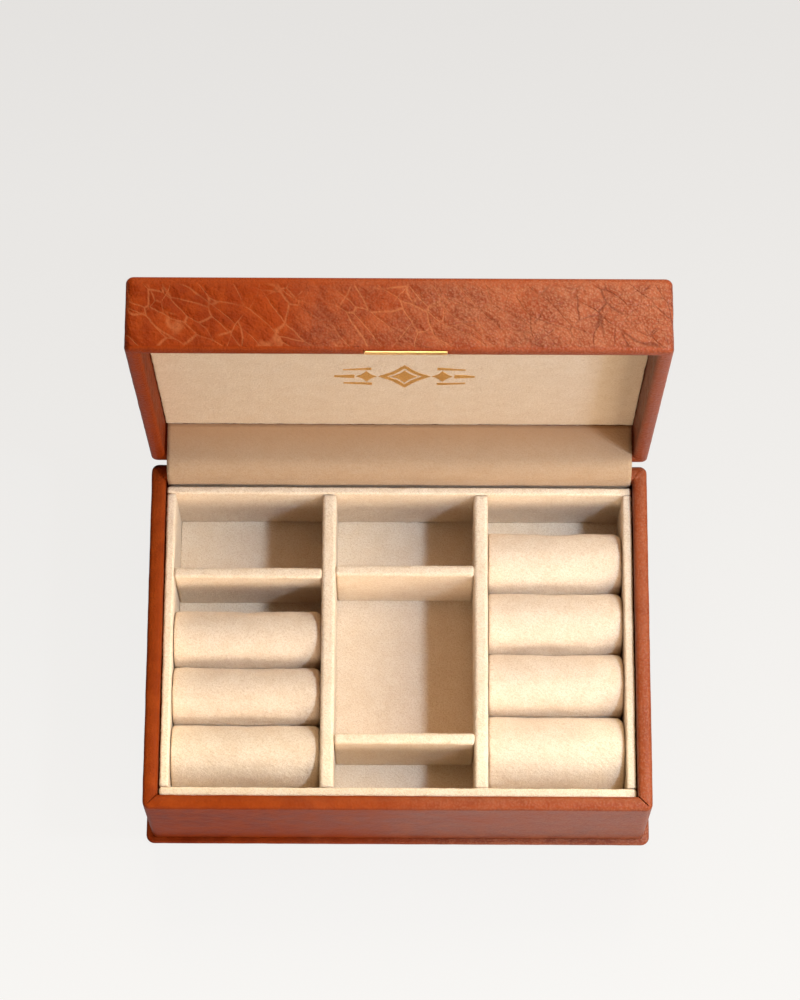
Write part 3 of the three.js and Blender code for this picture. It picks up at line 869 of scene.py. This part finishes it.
def roll_body(low, high, smaller):
    """Points and faces of a roll, ROLL_SNUG over its place less `smaller`, but not at the bottom."""
    centre = (low + high) / 2
    half_x = (high[0] - low[0]) / 2 + ROLL_SNUG["end"] - smaller
    half_y = (high[1] - low[1]) / 2 + ROLL_SNUG["side"] - smaller
    top, bottom = high[2] - smaller, low[2]
    left, right = ROLL_ENDS
    middle = np.linspace(left - half_x, half_x - right, ROLL_GRID["length"])[1:-1]
    stations = (
        rounded_end(left, half_x, -1)
        + [(x, 0.0) for x in middle]
        + rounded_end(right, half_x, 1)[::-1]
    )
    slices = [roll_section(x, half_y, top, bottom, drawn) for x, drawn in stations]
    points = np.array([p for s in slices for p in s]) + np.array([centre[0], centre[1], 0])
    return points, ring_faces(len(slices), len(slices[0]), False)


def modified_mesh(piece):
    """A new mesh with the piece's modifiers applied."""
    view = bpy.context.evaluated_depsgraph_get()
    return bpy.data.meshes.new_from_object(piece.evaluated_get(view))


def bake_modifiers(piece):
    mesh = modified_mesh(piece)
    piece.modifiers.clear()
    piece.data = mesh


def remesh(piece, voxel):
    modifier = piece.modifiers.new("remesh", "REMESH")
    modifier.mode = "VOXEL"
    modifier.voxel_size = voxel * MM
    bake_modifiers(piece)


def puff(pieces, settings):
    """Blows the pieces up as closed cloth, each vertex moving no further than the cap."""
    starts = [mesh_points(piece) for piece in pieces]
    for piece in pieces:
        cloth = piece.modifiers.new("cloth", "CLOTH").settings
        cloth.use_pressure = True
        cloth.uniform_pressure_force = settings["pressure"]
        cloth.effector_weights.gravity = 0
    scene = bpy.context.scene
    for step in range(1, settings["frames"] + 1):
        scene.frame_set(step)
    for piece, start in zip(pieces, starts):
        bake_modifiers(piece)
        move = mesh_points(piece) - start
        length = np.maximum(np.linalg.norm(move, axis=1), 1e-9)
        capped = move * np.minimum(1, settings["cap"] / length)[:, None]
        set_points(piece, start + capped)
    scene.frame_set(1)


def build_ring_rolls():
    """Puffed rolls, each stopped short of its neighbours."""
    reach = np.array(ROLL_REACH)
    reach_low = np.array([reach[0], reach[1], 0])
    rolls = []
    smaller = ROLL_PUFF["start_smaller"]
    for name in ROLL_NODES:
        low, high = box_of(name)
        points, faces = roll_body(low, high, smaller)
        rolls.append(new_piece(f"{name}_pad", points, faces, roll_suede))
    for roll in rolls:
        remesh(roll, ROLL_PUFF["voxel"])
    puff(rolls, ROLL_PUFF)
    for seed, (name, roll) in enumerate(zip(ROLL_NODES, rolls)):
        low, high = box_of(name)
        subdivision = roll.modifiers.new("subdivision", "SUBSURF")
        subdivision.levels = 1
        bake_modifiers(roll)
        ripple(roll, ROLL_WAVES, seed)
        set_points(roll, np.clip(mesh_points(roll), low - reach_low, high + reach))
        shade_faces(roll.data, True)
        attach(roll, "base")
        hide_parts(name)


# ---- lid panel and its ornament

panel_low, panel_high = shut_box_of("lid_suede_panel")
PANEL_SEED = 50
PANEL_FLATNESS = 6  # the higher, the flatter the panel and the steeper its border


def panel_swell(x, y):
    """How far the padded lid panel stands out of its flat face."""
    half_x, half_y = panel_high[0], panel_high[1]
    u = np.clip(np.abs(x) / half_x, 0, 1)
    v = np.clip(np.abs(y) / half_y, 0, 1)
    return PANEL_CROWN * (1 - u**PANEL_FLATNESS) * (1 - v**PANEL_FLATNESS)


def build_lid_panel():
    size = panel_high - panel_low
    points, faces = soft_box(panel_low, panel_high, (0.5, 0.5, 0.25), under=0.5, spacing=1.8)
    face_side = smooth_ramp(panel_high[2] - points[:, 2], 0.3 * size[2], 0.9 * size[2])
    points[:, 2] -= panel_swell(points[:, 0], points[:, 1]) * face_side
    piece = new_piece("lid_panel_padded", opened(points), faces, panel_suede, "lid")
    ripple(piece, SUEDE_WAVES, PANEL_SEED)
    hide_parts("lid_suede_panel")


ORNAMENT = {"x": 2.0, "y": 0.0, "thickness": 0.12, "sink": 0.1}
# Half sizes of the lozenges, and how far their sides bow in.
OUTER_FRAME = (10.0, 14.0, 0.12)
INNER_FRAME = (6.9, 9.9, 0.12)
CENTRE_LOZENGE = (5.0, 7.6, 0.16)
SIDE_LOZENGE = (3.9, 6.6, 0.16)
SIDE_LOZENGE_AT = 14.6
# Ends of the bars on one side of the middle: place along X, lower and upper edge.
MIDDLE_BAR = ((19.2, -2.2, 2.2), (27.0, -1.0, 1.0))
OUTER_BAR = ((12.6, 7.9, 10.6), (23.5, 7.5, 8.9))


def lozenge(x, half_x, half_y, bow):
    """Outline of a lozenge whose sides bow in."""
    corners = [(half_x, 0), (0, half_y), (-half_x, 0), (0, -half_y)]
    outline = []
    for (x0, y0), (x1, y1) in zip(corners, corners[1:] + corners[:1]):
        for t in np.linspace(0, 1, 9)[:-1]:
            pinch = 1 - bow * math.sin(math.pi * t)
            outline.append((x + (x0 + (x1 - x0) * t) * pinch, (y0 + (y1 - y0) * t) * pinch))
    return outline


def bar(ends, side, rise):
    """Outline of a tapering bar, mirrored by `side` along X and by `rise` along Y."""
    (near, near_low, near_high), (far, far_low, far_high) = ends
    return [(side * near, rise * near_high), (side * far, rise * far_high),
            (side * far, rise * far_low), (side * near, rise * near_low)]


def add_foil(points, faces, outer, inner=None):
    """Adds a thin plate of foil; with `inner` it is a frame round that opening."""
    start = len(points)
    count = len(outer)
    top = panel_low[2] - ORNAMENT["thickness"]
    loops = [outer] if inner is None else [outer, inner]
    for z_shift in (0.0, ORNAMENT["thickness"] + ORNAMENT["sink"]):
        for loop in loops:
            for x, y in loop:
                face_x, face_y = x + ORNAMENT["x"], y + ORNAMENT["y"]
                z = top - panel_swell(face_x, face_y) + z_shift
                points.append((face_x, face_y, float(z)))
    layer = count * len(loops)
    for step in range(count):
        after = (step + 1) % count
        faces.append((start + step, start + after, start + layer + after, start + layer + step))
        if inner is None:
            continue
        a, b = start + count + step, start + count + after
        faces.append((a, a + layer, b + layer, b))
        for shift in (0, layer):
            faces.append((start + shift + step, start + shift + after, b + shift, a + shift))
    if inner is None:
        faces.append(tuple(start + step for step in range(count)))
        faces.append(tuple(start + layer + step for step in range(count)))


def build_ornament():
    """A plain stamped device in gold foil: a framed lozenge between tapering bars."""
    points, faces = [], []
    add_foil(points, faces, lozenge(0, *OUTER_FRAME), lozenge(0, *INNER_FRAME))
    add_foil(points, faces, lozenge(0, *CENTRE_LOZENGE))
    for side in (-1, 1):
        add_foil(points, faces, lozenge(side * SIDE_LOZENGE_AT, *SIDE_LOZENGE))
        add_foil(points, faces, bar(MIDDLE_BAR, side, 1))
        for rise in (-1, 1):
            add_foil(points, faces, bar(OUTER_BAR, side, rise))
    piece = new_piece("lid_foil_ornament", opened(np.array(points)), faces, gold_foil, "lid")
    shade_faces(piece.data, False)


# ---- hinge leather and lining

def strip(path, thickness, half_x, spacing):
    """A sheet along X whose middle follows `path`, a list of (y, z), `thickness` at each point."""
    path = np.array(path)
    thickness = np.asarray(thickness) / 2
    run = np.gradient(path, axis=0)
    run /= np.linalg.norm(run, axis=1)[:, None]
    side = np.column_stack([-run[:, 1], run[:, 0]])
    outline = np.concatenate([path + side * thickness[:, None],
                              (path - side * thickness[:, None])[::-1]])
    xs = np.linspace(-half_x, half_x, round(2 * half_x / spacing) + 1)
    points = np.array([(x, y, z) for x in xs for y, z in outline])
    return points, ring_faces(len(xs), len(outline), False)


def build_hinge_leather():
    low, high = box_of("hinge_leather_base")
    middle = (low[1] + high[1]) / 2
    axis_y, axis_z = hinge_point[1], hinge_point[2]
    reach = axis_z - low[2]
    below = [(middle, z) for z in np.linspace(low[2], axis_z - HINGE_SLACK, 16)]
    shut = np.array([(0, middle, axis_z + s) for s in np.linspace(HINGE_SLACK, reach, 16)])
    above = [tuple(p[1:]) for p in opened(shut)]
    bend = []
    for t in np.linspace(0, 1, 8)[1:-1]:
        a, b, c = (1 - t) ** 2, 2 * t * (1 - t), t * t
        bend.append(tuple(a * np.array(below[-1]) + b * np.array([axis_y, axis_z])
                          + c * np.array(above[0])))
    path = below + bend + above
    lengths = np.concatenate([[0], np.cumsum(np.linalg.norm(np.diff(path, axis=0), axis=1))])
    from_end = np.minimum(lengths, lengths[-1] - lengths)
    full = high[1] - low[1]
    thickness = full * (HINGE_EDGE + (1 - HINGE_EDGE) * smooth_ramp(from_end, 0, HINGE_SKIVE))
    points, faces = strip(path, thickness, high[0], 2.0)
    piece = new_piece("hinge_leather", points, faces, hinge_leather_look)
    ripple(piece, HINGE_WAVES)
    cover_tags(piece, np.zeros(len(points)), np.zeros(len(points)))
    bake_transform(piece)
    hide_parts("hinge_leather_base", "hinge_leather_lid")


def paint_lining_shadow(piece):
    """Painted shadow on the lining: darkest deep inside the lid, lighter over the fold."""
    points = mesh_points(piece)
    behind = smooth_ramp(points[:, 1], hinge_point[1] - 4, hinge_point[1] + LINING_END_DEPTH)
    store(piece, "lining_shadow", SHADOW_OVER_FOLD + (SHADOW_DEEP_IN_LID - SHADOW_OVER_FOLD) * behind)


def build_hinge_lining():
    low, high = box_of("hinge_lining_base")
    middle, full = (low[1] + high[1]) / 2, high[1] - low[1]
    axis_y, axis_z = hinge_point[1], hinge_point[2]
    radius = axis_y - middle
    below = [(middle, z) for z in np.linspace(low[2], axis_z, 20)]
    arch = [(axis_y + radius * math.cos(a), axis_z + radius * math.sin(a))
            for a in np.linspace(math.pi, math.pi - lid_swing, 14)[1:-1]]
    depth = LINING_END_DEPTH
    shut = np.array([(0, middle, axis_z + s) for s in np.linspace(0, depth, 10)])
    above = [tuple(p[1:]) for p in opened(shut)]
    path = below + arch + above
    points, faces = strip(path, np.full(len(path), full), high[0], 1.5)
    piece = new_piece("hinge_lining", points, faces, lining_suede)
    paint_lining_shadow(piece)
    ripple(piece, LINING_WAVES)
    store_rest(piece)
    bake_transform(piece)
    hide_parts("hinge_lining_base", "hinge_lining_span", "hinge_lining_lid")


def build_underside():
    low, high = box_of("underside_lining")
    points, faces = soft_box(low, high, (0.15, 0.15, 0.1), under=0.1, spacing=2.4, steps=2)
    piece = new_piece("underside_suede", points, faces, underside_suede, "base")
    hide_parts("underside_lining")


# ---- pieces that keep their CAD shape

def dress_cad_parts():
    """New materials for the boards, foam, magnets and strike plate."""
    looks = {"core": board_look, "board": board_look, "foam": foam_look,
             "magnet": steel_look, "strike_plate": brass_look}
    for name, part in frame["nodes"].items():
        for word, material in looks.items():
            if word in name and not part.hide_render:
                part.data.materials.clear()
                part.data.materials.append(material)


# ---- stage, lights and camera

FLOOR = {"half": 3000, "near_y": -160, "far_y": 300}
# The floor glows, fading from near to far: painted fall-off of the studio light.
FLOOR_NEAR = (0.925, 0.915, 0.900)
FLOOR_FAR = (0.762, 0.750, 0.742)
FLOOR_GLOW = 0.965  # share of the floor's light that is its own: shadows stay faint
FLOOR_DROP = 0.2  # the floor lies this far under the case

LIGHTS = (
    # name, place, width, watts, colour
    ("key", (300, -80, 540), 52, 1.36, (1, 1.22, 1.50)),
    ("front_low", (0, -1113, 450), 560, 9.2, (1, 0.80, 0.59)),
    ("right_low", (787, -787, 450), 560, 6.8, (1, 0.82, 0.60)),
    ("right", (803, 0, 892), 560, 7.2, (1, 0.90, 0.64)),
    ("right_rear", (568, 568, 892), 560, 3.2, (1, 0.78, 0.48)),
    ("rear", (0, 1606, 1784), 1120, 55.0, (1, 0.92, 0.60)),
    ("rear_top", (0, 331, 1153), 560, 2.4, (1, 0.60, 0.30)),
)
LIGHTS_AIM = (0, 0, 30)
WORLD = 0.02


def build_floor():
    half = FLOOR["half"]
    corners = [(x * half, y * half, -FLOOR_DROP) for x, y in ((-1, -1), (1, -1), (1, 1), (-1, 1))]
    material, tree = new_material("studio_floor")
    place = places(tree)
    depth = node(tree, "SeparateXYZ", {0: place}).outputs[1]
    share = node(tree, "MapRange", {
        "Value": depth, "From Min": FLOOR["near_y"], "From Max": FLOOR["far_y"],
    }).outputs[0]
    # Painted fall-off: the glow fades from the near floor to the far floor.
    colour = mix(tree, share, FLOOR_NEAR, FLOOR_FAR)
    glow = node(tree, "Emission", {"Color": colour, "Strength": 1.0}).outputs[0]
    matt = node(tree, "BsdfDiffuse", {"Color": (0.8, 0.79, 0.78, 1)}).outputs[0]
    both = node(tree, "MixShader", {0: FLOOR_GLOW, 1: matt, 2: glow}).outputs[0]
    output = tree.nodes["Material Output"]
    tree.links.new(both, output.inputs["Surface"])
    tree.nodes.remove(tree.nodes["Principled BSDF"])
    floor = new_piece("studio_floor", np.array(corners, float), [(0, 1, 2, 3)], material)
    floor.visible_diffuse = False


def build_lights():
    world = bpy.data.worlds.new("studio")
    world.use_nodes = True
    background = world.node_tree.nodes["Background"]
    background.inputs["Color"].default_value = (1, 0.985, 0.965, 1)
    background.inputs["Strength"].default_value = WORLD
    bpy.context.scene.world = world
    for name, place, width, watts, colour in LIGHTS:
        data = bpy.data.lights.new(name, "AREA")
        data.shape = "RECTANGLE"
        data.size = data.size_y = width * MM
        data.energy = watts
        data.color = colour
        lamp = bpy.data.objects.new(name, data)
        lamp.location = np.array(place) * MM
        aim = Vector(LIGHTS_AIM) * MM - lamp.location
        lamp.rotation_euler = aim.to_track_quat("-Z", "Y").to_euler()
        lamp.visible_camera = False
        bpy.context.scene.collection.objects.link(lamp)


CAMERA = {"aim": (0.33, 61.57, 40), "distance": 1349.9, "azimuth": 0.37, "elevation": 72.11,
          "roll": -0.1, "lens": 119.07}


def build_camera():
    data = bpy.data.cameras.new("camera")
    data.lens = CAMERA["lens"]
    data.sensor_width = 36
    data.clip_end = 20
    azimuth, elevation, roll = (math.radians(CAMERA[k]) for k in ("azimuth", "elevation", "roll"))
    back = Vector((math.sin(azimuth) * math.cos(elevation),
                   -math.cos(azimuth) * math.cos(elevation), math.sin(elevation)))
    camera = bpy.data.objects.new("camera", data)
    camera.location = (Vector(CAMERA["aim"]) + back * CAMERA["distance"]) * MM
    camera.rotation_mode = "QUATERNION"
    look = (-back).to_track_quat("-Z", "Y")
    look.rotate(Matrix.Rotation(roll, 3, back))
    camera.rotation_quaternion = look
    bpy.context.scene.collection.objects.link(camera)
    bpy.context.scene.camera = camera
    bpy.context.scene.view_settings.view_transform = "Standard"


# ---- assembly

build_camera()
build_floor()
build_lights()
build_foot()
build_underside()
build_base_cover()
build_insert()
build_ring_rolls()
build_lid_cover()
build_lid_panel()
build_ornament()
build_hinge_leather()
build_hinge_lining()
dress_cad_parts()
